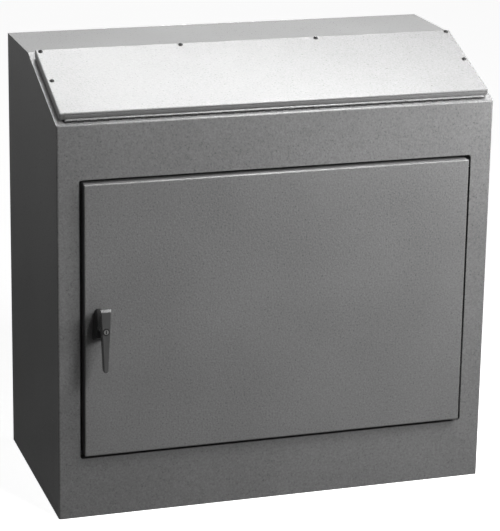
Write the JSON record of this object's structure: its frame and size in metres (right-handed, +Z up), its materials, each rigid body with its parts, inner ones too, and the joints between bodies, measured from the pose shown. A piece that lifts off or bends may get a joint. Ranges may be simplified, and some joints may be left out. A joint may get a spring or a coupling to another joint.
{
  "type": "console enclosure",
  "caption": "Floor-standing console enclosure of grey painted sheet steel with a flat top, a hinged cover on its sloped panel, and a hinged door with a key-locking lever handle.",
  "frame": {"origin": "centre of the cabinet's base, on the floor", "axes": "+Z up, +Y to the back, +X to the right seen from the front"},
  "size_m": [0.914, 0.5295, 0.925],
  "materials": {
    "painted_steel": "fine-textured semi-gloss grey enamel",
    "dark_cast": "satin dark enamel on a zinc casting",
    "black_steel": "blackened steel",
    "zinc_steel": "zinc-plated steel",
    "gasket_rubber": "matt closed-cell rubber"
  },
  "bodies": {
    "cabinet": {"cabinet_body": "painted_steel", "panel_studs": "zinc_steel", "ground_stud": "zinc_steel", "ground_nut": "zinc_steel", "door_hinge_body_leaf": "black_steel", "door_hinge_pin": "zinc_steel", "door_gasket": "gasket_rubber", "cover_hinge_body_leaf": "painted_steel", "cover_hinge_pin": "zinc_steel", "cover_weld_nuts": "zinc_steel"},
    "door": {"front_door": "painted_steel", "door_hinge_door_leaf": "black_steel", "handle_gasket": "gasket_rubber", "handle_base": "dark_cast", "handle_screws": "zinc_steel"},
    "handle": {"handle_lever": "dark_cast", "lock_cylinder": "black_steel", "latch_spindle": "zinc_steel", "latch_cam": "zinc_steel", "spindle_washer": "zinc_steel", "spindle_nut": "zinc_steel"},
    "lock": {"lock_plug": "black_steel"},
    "cover": {"slope_cover": "painted_steel", "cover_gasket": "gasket_rubber", "cover_hinge_cover_leaf": "painted_steel", "cover_screws": "black_steel", "cover_screw_retainers": "zinc_steel"}
  },
  "joints": [
    {"name": "door_swing", "type": "hinge", "parent": "cabinet", "child": "door", "pos_m": [0.40875, -0.2285, 0.41853], "axis": [0, 0, 1], "range_deg": [0, 105]},
    {"name": "cover_lift", "type": "hinge", "parent": "cabinet", "child": "cover", "pos_m": [0, -0.21921, 0.82892], "axis": [1, 0, 0], "range_deg": [0, 115]},
    {"name": "handle_turn", "type": "hinge", "parent": "door", "child": "handle", "pos_m": [-0.376, -0.238, 0.41853], "axis": [0, -1, 0], "range_deg": [0, 90]},
    {"name": "lock_turn", "type": "hinge", "parent": "handle", "child": "lock", "pos_m": [-0.376, -0.238, 0.41853], "axis": [0, -1, 0], "range_deg": [0, 90]}
  ]
}
